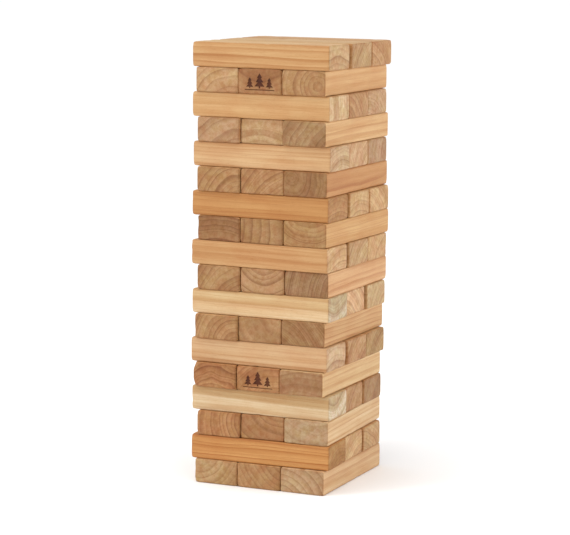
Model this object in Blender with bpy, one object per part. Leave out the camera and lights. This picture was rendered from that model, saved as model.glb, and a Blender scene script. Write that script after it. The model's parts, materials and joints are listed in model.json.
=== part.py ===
"""Giant tumbling tower: timber blocks stacked three to a layer, each layer laid across the one below.

Metres, +Z up. The origin is the middle of the underside of the bottom layer's centre block, and +X and +Y
run square to that block. Odd layers lie along Y and show their block ends at the front, which is -Y.
Even layers lie along X and show a long side there. Every block is loose, and it slides out along its length.
"""

import math

import bmesh
import bpy
from mathutils import Vector

BLOCK_LENGTH = 0.232
BLOCK_WIDTH = 0.0725
BLOCK_HEIGHT = 0.038
EDGE_ROUND = 0.0018
EDGE_STEPS = 2
ROUND_PROFILE = 0.5
REST_GAP = 0.0003
MM = 0.001
SHARP_ANGLE = math.radians(50.0)
QUARTER_TURN = math.radians(90.0)

ODD_NAMES = ("left", "centre", "right")
EVEN_NAMES = ("front", "centre", "back")

# How the tower was laid by hand, from the bottom layer up. Each layer has
#   its turn about Z in degrees,
#   how far it sits to its right (odd layers) or to its back (even layers), in mm,
#   how far its three blocks are pushed along their length, towards +Y (odd) or +X (even), in mm,
#   the two gaps between its three blocks, in mm,
#   and the timber of its three blocks.
LAYERS = (
    (0.0, 0.0, (0, 0, 1), (0.8, 1.0), ("tan", "tan", "peach")),
    (1.5, -2.5, (-3, -4, -2), (0.8, 3.0), ("amber", "tan", "russet")),
    (1.8, -0.5, (4, 7, 4), (0.6, 1.6), ("russet", "russet", "pale")),
    (0.8, 2.5, (-4, -6, -4), (0.8, 2.5), ("pale", "russet", "russet")),
    (-0.4, -2.0, (0, 2, 1), (1.6, 0.8), ("russet", "russet", "pale")),
    (-0.6, 3.5, (-3, -1, -1), (4.5, 0.8), ("peach", "russet", "tan")),
    (-0.5, -1.0, (1, 5, 6), (0.5, 0.5), ("tan", "russet", "peach")),
    (-0.4, 0.5, (-2, -4, -1), (0.6, 5.5), ("pale", "peach", "tan")),
    (-0.5, 2.5, (5, 6, 7), (2.0, 1.8), ("tan", "peach", "peach")),
    (-1.2, 4.0, (-2, 0, 0), (5.0, 0.6), ("honey", "tan", "tan")),
    (-2.2, 3.5, (6, 7, 7), (1.2, 1.4), ("russet", "tan", "honey")),
    (-1.4, 6.0, (-2, 0, 1), (4.5, 2.0), ("amber", "honey", "honey")),
    (-1.3, 2.5, (4, 7, 6), (1.4, 0.6), ("tan", "russet", "peach")),
    (-1.0, 3.0, (-1, -2, -1), (0.8, 0.6), ("honey", "peach", "tan")),
    (-2.1, 2.5, (5, 9, 5), (0.7, 0.6), ("peach", "tan", "honey")),
    (-1.1, 2.0, (-2, -2, -2), (0.8, 0.8), ("honey", "russet", "peach")),
    (-1.6, 0.0, (4, 3, 4), (0.5, 0.8), ("tan", "russet", "honey")),
    (-2.0, 2.5, (1, 3, 4), (5.5, 1.0), ("honey", "tan", "russet")),
)

# Each timber's colour, as linear red, green and blue.
TIMBERS = {
    "pale": (0.72, 0.52, 0.30),
    "honey": (0.67, 0.41, 0.20),
    "peach": (0.70, 0.41, 0.22),
    "amber": (0.66, 0.31, 0.11),
    "tan": (0.52, 0.34, 0.19),
    "russet": (0.44, 0.25, 0.13),
}
TIMBER_ROUGHNESS = 0.6


def clear_scene():
    for obj in list(bpy.data.objects):
        bpy.data.objects.remove(obj, do_unlink=True)


def timber_material(name):
    material = bpy.data.materials.new("pine_" + name)
    material.use_nodes = True
    shader = material.node_tree.nodes["Principled BSDF"]
    shader.inputs["Base Color"].default_value = (*TIMBERS[name], 1.0)
    shader.inputs["Roughness"].default_value = TIMBER_ROUGHNESS
    shader.inputs["Metallic"].default_value = 0.0
    material.diffuse_color = (*TIMBERS[name], 1.0)
    return material


def block_mesh(material):
    """One block: its length along X, standing on z = 0, with all its edges rounded."""
    shape = bmesh.new()
    bmesh.ops.create_cube(shape, size=1.0)
    bmesh.ops.scale(shape, vec=Vector((BLOCK_LENGTH, BLOCK_WIDTH, BLOCK_HEIGHT)), verts=shape.verts)
    bmesh.ops.translate(shape, vec=Vector((0.0, 0.0, BLOCK_HEIGHT / 2)), verts=shape.verts)
    bmesh.ops.bevel(
        shape,
        geom=list(shape.edges),
        offset=EDGE_ROUND,
        offset_type="OFFSET",
        affect="EDGES",
        segments=EDGE_STEPS,
        profile=ROUND_PROFILE,
        material=-1,
    )
    mesh = bpy.data.meshes.new("block_" + material.name)
    shape.to_mesh(mesh)
    shape.free()
    mesh.materials.append(material)
    mesh.shade_smooth()
    mesh.set_sharp_from_angle(angle=SHARP_ANGLE)
    return mesh


def layer_empty(number, turn, side_shift):
    """The middle of a layer's underside. Its own +X runs along the layer's blocks."""
    along_y = number % 2 == 1
    empty = bpy.data.objects.new(f"layer_{number:02d}", None)
    across = Vector((side_shift, 0.0, 0.0)) if along_y else Vector((0.0, side_shift, 0.0))
    empty.location = across + Vector((0.0, 0.0, (number - 1) * (BLOCK_HEIGHT + REST_GAP)))
    empty.rotation_euler = (0.0, 0.0, math.radians(turn) + (QUARTER_TURN if along_y else 0.0))
    bpy.context.collection.objects.link(empty)
    return empty


def lay_block(name, mesh, layer, push, aside):
    block = bpy.data.objects.new(name, mesh)
    block.parent = layer
    block.location = (push, aside, 0.0)
    bpy.context.collection.objects.link(block)
    return block


def build_tower():
    """The blocks, bottom layer first, and in each layer left to right or front to back."""
    meshes = {name: block_mesh(timber_material(name)) for name in TIMBERS}
    blocks = []
    for number, (turn, side_shift, pushes, gaps, timbers) in enumerate(LAYERS, start=1):
        layer = layer_empty(number, turn, side_shift * MM)
        # An odd layer's own +Y is the tower's -X, so its left block is the one furthest along +Y.
        names, sign = (ODD_NAMES, -1.0) if number % 2 == 1 else (EVEN_NAMES, 1.0)
        first_gap, second_gap = gaps
        asides = (-BLOCK_WIDTH - first_gap * MM, 0.0, BLOCK_WIDTH + second_gap * MM)
        for name, push, aside, timber in zip(names, pushes, asides, timbers):
            blocks.append(lay_block(f"layer_{number:02d}_{name}", meshes[timber], layer, push * MM, sign * aside))
    return blocks


def main():
    clear_scene()
    build_tower()


main()
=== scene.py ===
import json
import math
import random

import bmesh
import bpy
from mathutils import Matrix, Vector, geometry, kdtree


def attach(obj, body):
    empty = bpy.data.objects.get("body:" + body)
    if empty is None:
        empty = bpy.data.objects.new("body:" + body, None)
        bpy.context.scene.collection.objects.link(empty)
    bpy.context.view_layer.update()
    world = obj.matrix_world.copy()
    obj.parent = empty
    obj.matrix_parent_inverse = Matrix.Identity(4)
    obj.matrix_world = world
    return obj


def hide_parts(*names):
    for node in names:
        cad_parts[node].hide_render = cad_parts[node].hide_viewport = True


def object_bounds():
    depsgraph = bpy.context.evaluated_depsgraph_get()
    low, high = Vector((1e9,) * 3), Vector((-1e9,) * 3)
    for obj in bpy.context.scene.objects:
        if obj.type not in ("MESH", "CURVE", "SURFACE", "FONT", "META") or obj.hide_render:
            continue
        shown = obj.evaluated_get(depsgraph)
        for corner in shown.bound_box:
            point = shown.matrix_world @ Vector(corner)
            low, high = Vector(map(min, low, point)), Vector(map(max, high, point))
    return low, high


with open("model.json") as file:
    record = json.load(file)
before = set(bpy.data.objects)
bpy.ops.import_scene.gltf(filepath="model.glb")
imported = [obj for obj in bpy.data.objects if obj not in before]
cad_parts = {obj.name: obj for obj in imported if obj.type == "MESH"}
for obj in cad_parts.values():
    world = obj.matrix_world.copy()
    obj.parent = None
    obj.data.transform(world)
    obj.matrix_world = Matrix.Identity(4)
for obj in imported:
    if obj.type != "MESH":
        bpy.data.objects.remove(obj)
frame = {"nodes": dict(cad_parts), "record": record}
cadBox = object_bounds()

mm = 0.001


class Signal:
    # one socket of a material, worked with like a number
    def __init__(self, board, socket):
        self.board = board
        self.socket = socket

    def __add__(self, other):
        return self.board.maths("ADD", self, other)

    def __radd__(self, other):
        return self.board.maths("ADD", other, self)

    def __sub__(self, other):
        return self.board.maths("SUBTRACT", self, other)

    def __rsub__(self, other):
        return self.board.maths("SUBTRACT", other, self)

    def __mul__(self, other):
        return self.board.maths("MULTIPLY", self, other)

    def __rmul__(self, other):
        return self.board.maths("MULTIPLY", other, self)

    def __truediv__(self, other):
        return self.board.maths("DIVIDE", self, other)

    def __rtruediv__(self, other):
        return self.board.maths("DIVIDE", other, self)

    def __pow__(self, power):
        return self.board.maths("POWER", self, power)

    def __abs__(self):
        return self.board.maths("ABSOLUTE", self)


class Board:
    # the node tree of one material
    def __init__(self, name):
        self.material = bpy.data.materials.new(name)
        self.material.use_nodes = True
        self.tree = self.material.node_tree
        self.shader = self.tree.nodes["Principled BSDF"]

    def node(self, kind, settings=None, sockets=None):
        made = self.tree.nodes.new("ShaderNode" + kind)
        for name, value in (settings or {}).items():
            setattr(made, name, value)
        for name, value in (sockets or {}).items():
            self.feed(made.inputs[name], value)
        return made

    def feed(self, socket, value):
        if isinstance(value, Signal):
            self.tree.links.new(value.socket, socket)
        else:
            socket.default_value = value

    def out(self, node, name=0):
        return Signal(self, node.outputs[name])

    def maths(self, operation, *values):
        return self.out(self.node("Math", {"operation": operation}, dict(enumerate(values))))

    def ease(self, low, high, value, start=0.0, end=1.0):
        return self.out(self.node("MapRange", {"interpolation_type": "SMOOTHSTEP"}, {
            "Value": value, "From Min": low, "From Max": high, "To Min": start, "To Max": end}))

    def cloud(self, place, scale, detail, rough=0.5):
        return self.out(self.node("TexNoise", {}, {
            "Vector": place, "Scale": scale, "Detail": detail, "Roughness": rough}))

    def stretch(self, place, scale, shift=(0.0, 0.0, 0.0)):
        return self.out(self.node("Mapping", {"vector_type": "POINT"}, {
            "Vector": place, "Scale": scale, "Location": shift}))

    def dot(self, direction, other):
        return self.out(self.node("VectorMath", {"operation": "DOT_PRODUCT"}, {
            0: direction, 1: other}), "Value")

    def point(self, x, y, z):
        return self.out(self.node("CombineXYZ", {}, {0: x, 1: y, 2: z}))

    def tinge(self, amount, under, rgb):
        # multiplies one colour by another, as far as the amount says
        return self.out(self.node("Mix", {"data_type": "RGBA", "blend_type": "MULTIPLY"}, {
            0: amount, 6: under, 7: colour(rgb)}), 2)

    def line(self, distance):
        return self.out(self.node("TexNoise", {"noise_dimensions": "1D"}, {
            "W": distance, "Scale": 1.0, "Detail": 1.0}))

    def farFrom(self, place, middle):
        # how far a place is from a middle, seen along the block
        return self.out(self.node("VectorMath", {"operation": "DISTANCE"}, {
            0: self.stretch(place, (0.0, 1.0, 1.0)), 1: middle}), "Value")

    def inMillimetres(self, place, frameOf):
        return self.out(self.node("Mapping", {"vector_type": "TEXTURE"}, {
            "Vector": place, "Location": frameOf.to_translation(),
            "Rotation": frameOf.to_euler(), "Scale": (mm, mm, mm)}))


def colour(rgb):
    return (*rgb, 1.0)


# Colours are linear. side is sanded long grain between the rings, and late is the ring's dark edge.
timbers = {
    "pine_pale": {"side": (0.765, 0.60, 0.385), "late": (0.63, 0.41, 0.20)},
    "pine_honey": {"side": (0.73, 0.485, 0.265), "late": (0.57, 0.31, 0.13)},
    "pine_peach": {"side": (0.745, 0.505, 0.31), "late": (0.59, 0.32, 0.15)},
    "pine_amber": {"side": (0.69, 0.38, 0.15), "late": (0.50, 0.21, 0.06)},
    "pine_tan": {"side": (0.69, 0.465, 0.26), "late": (0.53, 0.30, 0.14)},
    "pine_russet": {"side": (0.64, 0.385, 0.205), "late": (0.45, 0.23, 0.10)},
}

# A block that isn't in cuts, or what its entry there leaves out. The ends carry painted light as well
# as their own colour. freshEnd is the ends' own colour. The larger a block's share of the painted
# light, the paler and greyer its ends are, standing in for the brighter light on the right face. tint
# shades a whole block. The top tint is a painted sheen that makes the upper side paler, for the light
# glancing off it. end and endTint shade the two ends.
# wobble bends the rings, heart is how far the dark heartwood reaches from the pith, and worn is how
# far two corners are rounded off, all in mm.
grain = {
    "freshEnd": (0.83, 0.82, 0.82),
    "paintedLightEnd": (0.98, 1.16, 1.42),
    "paintedLight": 0.1,
    "end": 1.0,
    "endTint": (1.0, 1.0, 1.0),
    "tint": (1.0, 1.0, 1.0),
    "paintedTopSheen": (1.0, 1.0, 1.0),
    "sideLines": 1.0,
    "endLines": 0.9,
    "bands": 0.8,
    "wobble": 2.6,
    "heart": 400.0,
    "slope": (0.004, -0.006),
    "worn": 0.0,
}

# A block that isn't in cuts gets its pith and its ring by chance, within these.
chanceCuts = {
    "seed": 100,
    "pithAcross": (-80, 80),
    "pithUp": (-90, -40),
    "ring": (4, 8),
    "paintedLightEven": 0.9,    # an even layer's ends are seen on the right, where painted light makes them paler and greyer
}

# The blocks that are cut one by one. pith is the middle of the tree from the middle of the block's
# end, to its right and up, in mm. ring is a year's growth in mm.
cuts = {
    "layer_18_front": {"pith": (-10, -95), "ring": 11.0, "wobble": 3.5, "sideLines": 1.5,
        "end": 1.1, "endTint": (0.95, 1.03, 1.12), "paintedTopSheen": (1.08, 1.27, 1.5)},
    "layer_18_centre": {"pith": (60, -50), "ring": 6.0, "end": 0.95, "paintedTopSheen": (1.08, 1.27, 1.5)},
    "layer_18_back": {"pith": (-60, -60), "ring": 6.0, "end": 1.05, "paintedTopSheen": (1.08, 1.27, 1.5)},
    "layer_17_left": {"pith": (25, -45), "ring": 13.0, "end": 1.25, "endTint": (0.95, 1.02, 1.15)},
    "layer_17_centre": {"pith": (5, 70), "ring": 7.0, "endLines": 0.5, "end": 0.95},
    "layer_17_right": {"pith": (22, -4), "ring": 8.0, "sideLines": 0.2, "endLines": 1.0,
        "tint": (1.0, 1.04, 1.1), "end": 1.02},
    "layer_16_front": {"pith": (-120, -6), "ring": 7.0, "sideLines": 0.35, "end": 1.2,
        "endTint": (0.93, 1.03, 1.18)},
    "layer_16_back": {"pith": (-50, -90), "ring": 6.0, "end": 0.95},
    "layer_15_left": {"pith": (40, -70), "ring": 15.0, "endTint": (0.98, 1.03, 1.12)},
    "layer_15_centre": {"pith": (0, -150), "ring": 3.0, "endLines": 0.3, "end": 1.2,
        "endTint": (0.93, 1.03, 1.18)},
    "layer_15_right": {"pith": (70, -45), "ring": 10.0, "tint": (1.02, 1.09, 1.19), "end": 0.8},
    "layer_14_front": {"pith": (10, -80), "ring": 6.0, "sideLines": 0.7, "tint": (1.04, 1.1, 1.25),
        "end": 0.95},
    "layer_14_centre": {"pith": (70, -60), "ring": 5.0, "end": 1.05},
    "layer_14_back": {"pith": (80, -20), "ring": 7.0, "endLines": 1.0, "end": 0.9,
        "endTint": (1.0, 0.98, 1.1)},
    "layer_13_left": {"pith": (34, -34), "ring": 9.0, "endLines": 1.1},
    "layer_13_centre": {"pith": (60, -60), "ring": 6.0, "end": 1.15, "endTint": (0.95, 1.03, 1.1)},
    "layer_13_right": {"pith": (-22, 10), "ring": 7.0, "wobble": 7.0, "sideLines": 1.5,
        "tint": (0.79, 0.67, 0.52), "end": 0.95, "endTint": (0.96, 1.06, 1.2)},
    "layer_12_front": {"pith": (0, -110), "ring": 7.0, "sideLines": 0.6, "tint": (0.93, 0.96, 1.02),
        "end": 0.9, "endTint": (1.02, 1.0, 1.1)},
    "layer_12_back": {"pith": (-60, -70), "ring": 5.0, "end": 1.05},
    "layer_11_left": {"pith": (0, -110), "ring": 7.0, "endLines": 1.2, "bands": 1.0, "end": 0.8},
    "layer_11_centre": {"pith": (-90, 10), "ring": 15.0, "endLines": 1.0, "end": 0.95},
    "layer_11_right": {"pith": (6, 52), "ring": 6.0, "endLines": 1.0, "tint": (0.95, 0.96, 0.92),
        "end": 0.94},
    "layer_10_front": {"pith": (20, -100), "ring": 7.0, "sideLines": 0.6, "tint": (0.94, 0.9, 0.88),
        "end": 1.2, "endTint": (0.98, 1.03, 1.12)},
    "layer_10_back": {"pith": (60, -60), "ring": 5.0, "end": 1.15},
    "layer_09_left": {"pith": (50, -50), "ring": 9.0, "endLines": 0.9, "end": 0.95},
    "layer_09_centre": {"pith": (2, 42), "ring": 9.5, "endLines": 1.3, "bands": 0.3, "end": 0.95},
    "layer_09_right": {"pith": (110, -30), "ring": 4.5, "endLines": 1.1, "end": 0.75},
    "layer_08_front": {"pith": (-10, 60), "ring": 6.0, "heart": 66.0, "slope": (0.0, -0.017),
        "sideLines": 0.6, "end": 0.85},
    "layer_08_centre": {"pith": (-60, -80), "ring": 6.0, "end": 1.15},
    "layer_08_back": {"pith": (70, -70), "ring": 6.0, "end": 1.1, "endTint": (0.97, 1.05, 1.1)},
    "layer_07_left": {"pith": (34, -26), "ring": 7.0, "endLines": 1.1},
    "layer_07_centre": {"pith": (40, 40), "ring": 12.0, "endLines": 0.4, "end": 1.1,
        "endTint": (0.93, 1.06, 1.15)},
    "layer_07_right": {"pith": (-70, -62), "ring": 4.0, "sideLines": 1.5, "endLines": 0.9,
        "tint": (0.91, 0.93, 0.87), "end": 0.8, "endTint": (1.03, 0.97, 0.92)},
    "layer_06_front": {"pith": (0, -85), "ring": 10.0, "sideLines": 0.9, "tint": (1.0, 1.06, 1.14),
        "end": 1.05},
    "layer_06_back": {"pith": (60, -70), "ring": 6.0, "end": 0.8, "endTint": (1.03, 1.0, 0.88)},
    "layer_05_left": {"pith": (-4, -60), "ring": 6.0, "wobble": 9.0, "endLines": 1.3, "bands": 1.0,
        "end": 1.1, "worn": 2.6},
    "layer_05_centre": {"pith": (34, -60), "ring": 7.0, "endLines": 0.9, "end": 1.1},
    "layer_05_right": {"pith": (6, -90), "ring": 10.0, "endLines": 0.6, "end": 0.7,
        "endTint": (1.12, 0.94, 0.88)},
    "layer_04_front": {"pith": (-16, 58), "ring": 6.0, "heart": 60.0, "slope": (0.0, -0.02),
        "sideLines": 0.6, "tint": (0.94, 0.96, 0.98), "end": 1.04},
    "layer_04_back": {"pith": (70, -50), "ring": 6.0, "end": 0.8},
    "layer_03_left": {"pith": (70, 6), "ring": 7.0, "endLines": 1.0, "end": 1.1},
    "layer_03_centre": {"pith": (30, 50), "ring": 12.0, "endLines": 0.9, "end": 1.1,
        "endTint": (0.97, 1.04, 1.1)},
    "layer_03_right": {"pith": (10, 60), "ring": 7.0, "sideLines": 1.4, "endLines": 0.4,
        "tint": (1.06, 1.12, 1.27), "end": 0.95},
    "layer_02_front": {"pith": (10, -70), "ring": 5.5, "wobble": 4.0, "sideLines": 1.4, "end": 0.8},
    "layer_02_centre": {"pith": (40, -90), "ring": 6.0, "end": 1.15},
    "layer_02_back": {"pith": (-50, -80), "ring": 6.0, "end": 1.2, "endTint": (0.95, 1.07, 1.1)},
    "layer_01_left": {"pith": (-34, 40), "ring": 10.0, "endLines": 0.7, "end": 1.2,
        "endTint": (0.92, 1.03, 1.12)},
    "layer_01_centre": {"pith": (60, 50), "ring": 9.0, "endLines": 0.7},
    "layer_01_right": {"pith": (-40, -50), "ring": 10.0, "sideLines": 1.4, "endLines": 0.9,
        "tint": (1.05, 1.2, 1.36), "end": 1.0},
}


# A plain row of firs, burnt into the ends of two blocks. All in mm, across and up from a tree's foot.
mark = {
    "blocks": ("layer_17_centre", "layer_05_centre"),
    "halfTree": ((0.0, 23.0), (4.6, 15.6), (2.2, 15.6), (6.6, 9.2), (3.2, 9.2), (8.6, 2.8),
                 (1.3, 2.8), (1.3, 0.0)),
    "trees": ((-16.5, 0.72), (0.0, 1.0), (16.5, 0.72)),   # place across and size
    "line": (50.0, 1.3, -1.6),                            # the ground: length, thickness and place up
    "foot": -10.5,
    "depth": 0.7,
    "edge": (3.0, 2.0),            # past the ground line's ends, where the burning stops
    "brow": (5.0, 4.0),            # above the tallest tree, where it stops
    "skin": (3.0, 2.5),            # behind the block's end, where it stops
    "halo": 6.0,                   # how far the scorched wood spreads past the mark
    "burnt": (0.26, 0.15, 0.09),
    "scorch": (0.80, 0.68, 0.60),
    "scorchAmount": 0.6,
}


def burn(board, tone, own, endPlace, mottle):
    # own holds the three distances from the block's middle
    halfWide, halfHigh = mark["line"][0] / 2, -mark["foot"]
    depth = endPlace - own[0]
    atEnd = board.ease(*mark["skin"], depth)
    within = board.ease(*(halfWide + edge for edge in mark["edge"]), abs(own[1]))
    within = within * board.ease(*(halfHigh + brow for brow in mark["brow"]), abs(own[2]))
    across, up = own[1] / (halfWide + mark["halo"]), own[2] / (halfHigh + mark["halo"])
    far = (across * across + up * up) ** 0.5
    scorched = board.ease(1.1, 0.45, far + (mottle - 0.5) * 0.8) * mark["scorchAmount"]
    tone = board.tinge(atEnd * scorched, tone, mark["scorch"])
    return board.tinge(atEnd * within * board.ease(0.05, 0.45, depth), tone, mark["burnt"])


# How often each part of the grain repeats in a millimetre, along the block, across it and up it.
repeats = {
    "bend": (0.004, 0.020, 0.020),
    "ripple": (0.012, 0.11, 0.11),
    "fibre": (0.02, 1.6, 1.6),
    "pores": (0.16, 2.8, 2.8),
    "streak": (0.003, 0.13, 0.13),
    "blotch": (0.016, 0.035, 0.035),
    "stain": (0.02, 0.05, 0.06),
    "mottle": (0.02, 0.22, 0.22),
}

rings = {
    "bend": 4.0,          # times the cut's wobble
    "ripple": 1.3,        # mm
    "uneven": 1.8,        # years that a good or bad spell shifts a ring
    "unevenEvery": 2.6,   # in years
    "spellEvery": 3.4,    # in years
    "heartEdge": 2.5,     # mm
    "slowRise": (0.05, 0.95, 0.45),    # from where to where in a year it darkens, and by how much
    "quickRise": (0.60, 0.93, 0.55),
    "fall": (0.95, 1.0),               # where in a year it turns pale again
    "weakest": 0.35,                   # the faintest year beside the strongest
}

# The faint arcs that a round saw leaves on the ends: how far its middle is across and up, in mm.
saw = {"across": 150.0, "acrossStep": 20.0, "up": -210.0, "close": 0.75}

# How much of each mark of the grain shows, and the colour it multiplies the wood by.
shades = {
    "heart": (1.0, (0.86, 0.80, 0.68)),
    "spell": (0.8, (0.92, 0.86, 0.80)),
    "fibre": (0.8, (0.86, 0.79, 0.70)),
    "streak": (1.0, (0.87, 0.77, 0.66)),
    "blotch": (0.7, (0.95, 0.87, 0.82)),
    "pores": (0.5, (0.74, 0.62, 0.50)),
    "endSpell": (1.0, (0.80, 0.71, 0.64)),
    "endLate": (1.0, (0.64, 0.53, 0.45)),
    "mottle": (0.4, (0.84, 0.78, 0.72)),
    "rays": (0.5, (0.84, 0.78, 0.72)),
    "warmStain": (1.0, (1.0, 0.92, 0.91)),
    "coolStain": (1.0, (0.97, 0.97, 0.87)),
    "saw": (0.35, (0.88, 0.84, 0.80)),
    "rubbed": (0.3, (0.76, 0.64, 0.54)),
}

# Where in its noise each mark starts to show, and where it shows fully.
fades = {
    "spell": (0.35, 0.65),
    "pores": (0.62, 0.70),
    "fibre": (0.38, 0.72),
    "streak": (0.35, 0.68),
    "blotch": (0.40, 0.66),
    "mottle": (0.36, 0.66),
    "rays": (0.35, 0.70),
    "warmStain": (0.45, 0.65),
    "coolStain": (0.52, 0.32),
    "saw": (0.40, 0.65),
}

rubbing = {"from": 0.2, "to": 3.2, "uneven": 3.0}   # mm in from an edge
rayFineness = {"round": 90.0, "out": 0.12}          # repeats to a radian and to a millimetre

# How far each mark stands up or lies deep, beside the bump's height.
heights = {"late": 0.15, "fibre": 0.25, "pores": 0.2, "saw": 0.35, "endFibre": 0.1}

finish = {
    "roughness": 0.58,
    "fibreRoughness": 0.25,
    "endRoughness": 0.16,
    "lateGloss": 0.10,
    "specular": 0.3,
    "bump": 0.35,
    "bumpHeight": 0.6 * mm,
}


def shade(board, tone, name, mask):
    amount, rgb = shades[name]
    return board.tinge(mask * amount, tone, rgb)


def pineLook(node, lie, timber, cut, seed):
    board = Board("pine_" + node)
    colours = timbers[timber]
    place = board.node("TexCoord")
    objectSpot = board.out(place, "Object")
    normal = board.out(place, "Normal")
    along = Vector((1.0, *cut["slope"])).normalized()
    tilt = Vector((1.0, 0.0, 0.0)).rotation_difference(along).to_matrix().to_4x4()
    pith = Vector((0.0, *cut["pith"])) * mm
    logPlace = lie["matrix"] @ Matrix.Translation(pith) @ tilt
    spot = board.inMillimetres(objectSpot, logPlace)             # from the pith, X along the tree
    blockSpot = board.inMillimetres(objectSpot, lie["matrix"])   # from the block's middle

    # how squarely the surface cuts the fibres: 0 on the long faces, 1 on the ends
    lengthwise = lie["matrix"].to_3x3() @ Vector((1.0, 0.0, 0.0))
    endness = board.ease(0.35, 0.85, abs(board.dot(normal, lengthwise)))
    sideness = 1.0 - endness

    # the year rings
    shift = (seed * 3.7, seed * 1.3, seed * 2.1)
    bend = board.cloud(board.stretch(spot, repeats["bend"], shift), 1.0, 1.5)
    ripple = board.cloud(board.stretch(spot, repeats["ripple"], shift), 1.0, 2.0)
    parts = board.node("SeparateXYZ", {}, {0: spot})
    across, up = board.out(parts, 1), board.out(parts, 2)
    radius = (across * across + up * up) ** 0.5
    radius = radius + (bend - 0.5) * (rings["bend"] * cut["wobble"])
    radius = radius + (ripple - 0.5) * rings["ripple"]
    uneven = board.line(radius / (rings["unevenEvery"] * cut["ring"]) + seed)
    growth = radius / cut["ring"] + uneven * rings["uneven"]
    phase = board.maths("FRACT", growth)
    strength = board.out(board.node("TexWhiteNoise", {"noise_dimensions": "1D"}, {
        "W": board.maths("FLOOR", growth) + seed}))
    slowRise, quickRise = (board.ease(start, end, phase) * share
                           for start, end, share in (rings["slowRise"], rings["quickRise"]))
    late = (slowRise + quickRise) * board.ease(*rings["fall"], phase, 1.0, 0.0)
    late = late * (rings["weakest"] + strength * (1.0 - rings["weakest"]))
    years = board.line(radius / (rings["spellEvery"] * cut["ring"]) + seed * 2.0)
    spell = board.ease(*fades["spell"], years)

    # fibres, pores, broad streaks and blotches
    fibre = board.cloud(board.stretch(spot, repeats["fibre"], shift), 1.0, 4.0, 0.7)
    specks = board.cloud(board.stretch(spot, repeats["pores"], shift), 1.0, 1.0)
    pores = board.ease(*fades["pores"], specks)
    streak = board.cloud(board.stretch(spot, repeats["streak"], shift), 1.0, 3.0, 0.55)
    blotch = board.cloud(board.stretch(blockSpot, repeats["blotch"], shift), 1.0, 2.0)
    stain = board.cloud(board.stretch(blockSpot, repeats["stain"], shift[::-1]), 1.0, 3.0, 0.6)
    mottle = board.cloud(board.stretch(blockSpot, repeats["mottle"], shift), 1.0, 5.0, 0.75)
    bearing = board.maths("ARCTAN2", up, across)
    fan = board.point(bearing * rayFineness["round"], radius * rayFineness["out"], seed)
    rays = board.cloud(fan, 1.0, 2.0, 0.6)
    sawMiddle = Vector((0.0, saw["across"] + saw["acrossStep"] * (seed % 5), saw["up"]))
    sawn = board.line(board.farFrom(blockSpot, sawMiddle) * saw["close"] + seed)

    # the long faces
    heartEdge = rings["heartEdge"]
    tone = shade(board, colour(colours["side"]), "heart",
                 board.ease(cut["heart"] + heartEdge, cut["heart"] - heartEdge, radius))
    lateOver = [dark / light for dark, light in zip(colours["late"], colours["side"])]
    tone = board.tinge(late * sideness * cut["sideLines"], tone, lateOver)
    tone = shade(board, tone, "spell", spell * sideness)
    tone = shade(board, tone, "fibre", board.ease(*fades["fibre"], fibre))
    tone = shade(board, tone, "streak", board.ease(*fades["streak"], streak))
    tone = shade(board, tone, "blotch", board.ease(*fades["blotch"], blotch))
    tone = shade(board, tone, "pores", pores)

    # the ends
    # the ends' own colour with painted light blended in by the block's share: it makes the ends on
    # the right face paler and greyer, as brighter light would
    endColourAndPaintedLight = [cut["end"] * tint * (fresh + (paintedLight - fresh) * cut["paintedLight"])
                for tint, fresh, paintedLight in zip(cut["endTint"], grain["freshEnd"], grain["paintedLightEnd"])]
    tone = board.tinge(endness, tone, endColourAndPaintedLight)
    tone = shade(board, tone, "endSpell", endness * spell * cut["bands"])
    tone = shade(board, tone, "endLate", endness * late * cut["endLines"])
    tone = shade(board, tone, "mottle", endness * board.ease(*fades["mottle"], mottle))
    tone = shade(board, tone, "rays", endness * board.ease(*fades["rays"], rays))
    tone = shade(board, tone, "warmStain", endness * board.ease(*fades["warmStain"], stain))
    tone = shade(board, tone, "coolStain", endness * board.ease(*fades["coolStain"], stain))
    tone = shade(board, tone, "saw", endness * board.ease(*fades["saw"], sawn))

    # edges that hands have rubbed: the second nearest of the three pairs of faces
    sides = board.node("SeparateXYZ", {}, {0: blockSpot})
    own = [board.out(sides, axis) for axis in range(3)]
    depths = [size / (2 * mm) - abs(each) for size, each in zip(lie["size"], own)]
    low = board.maths("MINIMUM", depths[0], depths[1])
    high = board.maths("MAXIMUM", depths[0], depths[1])
    nearEdge = board.maths("MAXIMUM", low, board.maths("MINIMUM", high, depths[2]))
    edgePlace = nearEdge + (ripple - 0.5) * rubbing["uneven"]
    rubbed = board.ease(rubbing["from"], rubbing["to"], edgePlace, 1.0, 0.0)
    tone = shade(board, tone, "rubbed", rubbed)
    # painted sheen: the upper side is made paler and bluer, standing in for the light glancing off
    # the top
    paintedSheenMask = board.ease(0.6, 0.95, board.dot(normal, Vector((0.0, 0.0, 1.0))))
    tone = board.tinge(paintedSheenMask, tone, cut["paintedTopSheen"])
    tone = board.tinge(1.0, tone, cut["tint"])
    if node in mark["blocks"]:
        tone = burn(board, tone, own, lie["size"].x / (2 * mm), mottle)

    board.feed(board.shader.inputs["Base Color"], tone)
    roughness = finish["roughness"] + (fibre - 0.5) * finish["fibreRoughness"]
    roughness = roughness + endness * finish["endRoughness"] - late * finish["lateGloss"]
    board.feed(board.shader.inputs["Roughness"], roughness)
    relief = late * heights["late"] + fibre * heights["fibre"] - pores * heights["pores"]
    relief = relief - endness * (sawn * heights["saw"] + fibre * heights["endFibre"])
    bump = board.node("Bump", {}, {
        "Height": relief, "Strength": finish["bump"], "Distance": finish["bumpHeight"]})
    board.feed(board.shader.inputs["Normal"], board.out(bump))
    board.shader.inputs["Specular IOR Level"].default_value = finish["specular"]
    return board.material


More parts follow.
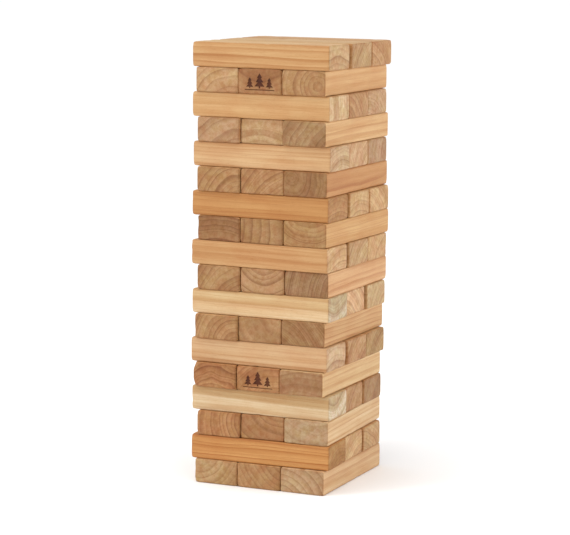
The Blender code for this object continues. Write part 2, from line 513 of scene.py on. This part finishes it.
blockShape = {
    "edgeRound": 1.8 * mm,
    "edgeSteps": 3,
    "spacing": 4.4 * mm,      # between the cross cuts that let an edge take a dent
    "dents": 10,
    "dentReach": (4 * mm, 10 * mm),
    "dentDepth": (0.2 * mm, 0.8 * mm),
    "dentEdges": (6, 2, 1),   # how often a dent falls on a long, a cross and an upright edge
    "dentRun": 0.92,          # of an edge's length
    "cornerReach": (5 * mm, 9 * mm),
    "cornerDepth": (0.3 * mm, 1.2 * mm),
    "wornReach": 13 * mm,
    "sharpAngle": 50,
}


def lieOf(node):
    # where a block lies, with its own +X towards the end that shows, and its sizes
    corners = [Vector(v.co) for v in frame["nodes"][node].data.vertices]
    turn = -geometry.box_fit_2d([c.xy for c in corners])
    back = Matrix.Rotation(-turn, 3, "Z")
    flat = [back @ c for c in corners]
    low = Vector(min(c[i] for c in flat) for i in range(3))
    high = Vector(max(c[i] for c in flat) for i in range(3))
    size = high - low
    middle = back.inverted() @ ((low + high) / 2)
    if size.x < size.y:
        turn += math.pi / 2
        size.x, size.y = size.y, size.x
    pointing = Matrix.Rotation(turn, 3, "Z") @ Vector((1.0, 0.0, 0.0))
    if pointing.x - pointing.y < 0:   # the ends that show face the front and the right
        turn += math.pi
    matrix = Matrix.Translation(middle) @ Matrix.Rotation(turn, 4, "Z")
    return {"matrix": matrix, "size": size}


def plainBlock(size):
    shape = bmesh.new()
    bmesh.ops.create_cube(shape, size=1.0)
    bmesh.ops.scale(shape, vec=size, verts=shape.verts)
    for axis in range(3):
        running = [e for e in shape.edges
                   if abs((e.verts[0].co - e.verts[1].co)[axis]) > size[axis] / 2]
        crossCuts = round(size[axis] / blockShape["spacing"]) - 1
        bmesh.ops.subdivide_edges(shape, edges=running, cuts=crossCuts, use_grid_fill=True)
    hard = [e for e in shape.edges if e.calc_face_angle() > 1.0]
    bmesh.ops.bevel(shape, geom=hard, offset=blockShape["edgeRound"], offset_type="OFFSET",
                    affect="EDGES", segments=blockShape["edgeSteps"], profile=0.5, material=-1)
    bmesh.ops.recalc_face_normals(shape, faces=shape.faces)
    mesh = bpy.data.meshes.new("plainBlock")
    shape.to_mesh(mesh)
    shape.free()
    return mesh


def findTree(mesh):
    tree = kdtree.KDTree(len(mesh.vertices))
    for vertex in mesh.vertices:
        tree.insert(vertex.co, vertex.index)
    tree.balance()
    return tree


def dent(mesh, tree, middle, inward, reach, depth):
    for _, index, distance in tree.find_range(middle, reach):
        mesh.vertices[index].co += inward * depth * (1 - (distance / reach) ** 2) ** 2


def wearBlock(mesh, tree, size, chance, worn):
    half = size / 2
    for up in (-1, 1):   # the two left corners of the end that shows
        middle = Vector((half.x, -half.y, up * half.z))
        inward = Vector((-0.5, 1.0, -0.6 * up)).normalized()
        dent(mesh, tree, middle, inward, blockShape["wornReach"], worn * mm)
    for each in range(blockShape["dents"]):
        running = chance.choices((0, 1, 2), blockShape["dentEdges"])[0]
        middle = Vector(chance.choice((-1, 1)) * half[axis] for axis in range(3))
        run = blockShape["dentRun"]
        middle[running] = chance.uniform(-run, run) * half[running]
        inward = Vector(-math.copysign(1, part) for part in middle)
        inward[running] = 0.0
        dent(mesh, tree, middle, inward.normalized(), chance.uniform(*blockShape["dentReach"]),
             chance.uniform(*blockShape["dentDepth"]))
    for corner in range(8):
        middle = Vector((half.x * (corner & 1 or -1), half.y * (corner & 2 and 1 or -1),
                         half.z * (corner & 4 and 1 or -1)))
        dent(mesh, tree, middle, -Vector(math.copysign(1, part) for part in middle).normalized(),
             chance.uniform(*blockShape["cornerReach"]), chance.uniform(*blockShape["cornerDepth"]))


def markCutter(size):
    shape = bmesh.new()
    outlines = []
    for across, scale in mark["trees"]:
        right = [(across + x * scale, z * scale) for x, z in mark["halfTree"]]
        left = [(across - x * scale, z * scale) for x, z in reversed(mark["halfTree"][1:])]
        outlines.append(right + left)
    length, thick, under = mark["line"]
    outlines.append([(-length / 2, under - thick), (length / 2, under - thick),
                     (length / 2, under), (-length / 2, under)])
    for outline in outlines:
        corners = [shape.verts.new((size.x / 2 - mark["depth"] * mm, y * mm, (z + mark["foot"]) * mm))
                   for y, z in outline]
        face = shape.faces.new(corners)
        grown = bmesh.ops.extrude_face_region(shape, geom=[face])["geom"]
        bmesh.ops.translate(shape, vec=Vector((4 * mark["depth"] * mm, 0.0, 0.0)),
                            verts=[g for g in grown if isinstance(g, bmesh.types.BMVert)])
    bmesh.ops.recalc_face_normals(shape, faces=shape.faces)
    mesh = bpy.data.meshes.new("markCutter")
    shape.to_mesh(mesh)
    shape.free()
    return mesh


def pressMark(piece, size):
    cutter = bpy.data.objects.new("markCutter", markCutter(size))
    bpy.context.scene.collection.objects.link(cutter)
    press = piece.modifiers.new("press", "BOOLEAN")
    press.operation = "DIFFERENCE"
    press.solver = "EXACT"
    press.object = cutter
    ready = piece.evaluated_get(bpy.context.evaluated_depsgraph_get())
    pressed = bpy.data.meshes.new_from_object(ready)
    piece.modifiers.clear()
    piece.data = pressed
    bpy.data.objects.remove(cutter, do_unlink=True)


def finishMesh(mesh):
    mesh.shade_smooth()
    mesh.set_sharp_from_angle(angle=math.radians(blockShape["sharpAngle"]))


slotOf = {part["node"]: part["material_slot"] for part in frame["record"]["subparts"]}
blockNodes = sorted(slotOf)
firstLie = lieOf(blockNodes[0])
template = plainBlock(firstLie["size"])
finder = findTree(template)
print("template block:", len(template.polygons), "faces")

for number, node in enumerate(blockNodes):
    chance = random.Random(chanceCuts["seed"] + number)
    lie = lieOf(node)
    layer, place = node.split("_")[1:]
    pith = (chance.uniform(*chanceCuts["pithAcross"]), chance.uniform(*chanceCuts["pithUp"]))
    cut = dict(grain, pith=pith, ring=chance.uniform(*chanceCuts["ring"]))
    if int(layer) % 2 == 0:
        cut["paintedLight"] = chanceCuts["paintedLightEven"]
    cut.update(cuts.get(node, {}))
    piece = bpy.data.objects.new(f"block_{layer}_{place}", template.copy())
    bpy.context.scene.collection.objects.link(piece)
    wearBlock(piece.data, finder, lie["size"], chance, cut["worn"])
    if node in mark["blocks"]:
        pressMark(piece, lie["size"])
    piece.data.transform(lie["matrix"])
    finishMesh(piece.data)
    piece.data.materials.append(pineLook(node, lie, slotOf[node], cut, float(number)))
    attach(piece, node)
    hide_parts(node)
print("blocks laid:", len(blockNodes))


studio = {
    "floorSize": 80.0,
    "floorGap": 0.2 * mm,
    "floorColour": (0.95, 0.95, 0.95),
    "floorRoughness": 0.75,
    "sky": 0.57,
    "overhead": {"place": (-0.3, -0.6, 3.0), "spread": 50, "power": 1.8},   # evens out the floor
    "left": {"place": (-2.6, -2.9, 1.9), "size": 1.6, "power": 52.0},
    "right": {"place": (3.9, 1.0, 1.5), "size": 1.6, "power": 73.0},
}


def floorLook():
    board = Board("paleFloor")
    speck = board.cloud(board.out(board.node("TexCoord"), "Object"), 30.0, 3.0)
    board.feed(board.shader.inputs["Base Color"], colour(studio["floorColour"]))
    board.feed(board.shader.inputs["Roughness"], studio["floorRoughness"] + (speck - 0.5) * 0.1)
    return board.material


def layFloor():
    shape = bmesh.new()
    bmesh.ops.create_grid(shape, x_segments=8, y_segments=8, size=studio["floorSize"] / 2)
    under = cadBox[0].z - studio["floorGap"]
    bmesh.ops.translate(shape, vec=Vector((0.0, 0.0, under)), verts=shape.verts)
    mesh = bpy.data.meshes.new("floor")
    shape.to_mesh(mesh)
    shape.free()
    floor = bpy.data.objects.new("floor", mesh)
    bpy.context.scene.collection.objects.link(floor)
    mesh.materials.append(floorLook())


def addLamp(name, data, place, aim):
    lamp = bpy.data.objects.new(name, data)
    lamp.location = place
    lamp.rotation_mode = "QUATERNION"
    lamp.rotation_quaternion = (Vector(aim) - Vector(place)).to_track_quat("-Z", "Y")
    bpy.context.scene.collection.objects.link(lamp)


def lightStudio():
    world = bpy.data.worlds.new("studio")
    world.use_nodes = True
    background = world.node_tree.nodes["Background"]
    background.inputs["Color"].default_value = (1.0, 1.0, 1.0, 1.0)
    background.inputs["Strength"].default_value = studio["sky"]
    bpy.context.scene.world = world
    middle = (cadBox[0] + cadBox[1]) / 2
    for side in ("left", "right"):
        data = bpy.data.lights.new(side + "Softbox", "AREA")
        data.shape = "DISK"
        data.size = studio[side]["size"]
        data.energy = studio[side]["power"]
        addLamp(side + "Softbox", data, studio[side]["place"], middle)
    data = bpy.data.lights.new("overhead", "SUN")
    data.energy = studio["overhead"]["power"]
    data.angle = math.radians(studio["overhead"]["spread"])
    addLamp("overhead", data, studio["overhead"]["place"], middle)


view = {
    "place": (1.4667, -3.2915, 0.867),
    "yaw": 24.15,
    "pitch": 8.44,
    "roll": 0.43,
    "lens": 145.9,
}


def setCamera():
    data = bpy.data.cameras.new("camera")
    data.sensor_width = 36.0
    data.lens = view["lens"]
    camera = bpy.data.objects.new("camera", data)
    yaw, pitch, roll = (math.radians(view[k]) for k in ("yaw", "pitch", "roll"))
    look = Matrix.Rotation(yaw, 4, "Z") @ Matrix.Rotation(math.pi / 2 - pitch, 4, "X")
    look = look @ Matrix.Rotation(roll, 4, "Z")
    camera.matrix_world = Matrix.Translation(view["place"]) @ look
    bpy.context.scene.collection.objects.link(camera)
    bpy.context.scene.camera = camera


layFloor()
lightStudio()
setCamera()
bpy.context.scene.view_settings.view_transform = "Standard"
print("studio ready")
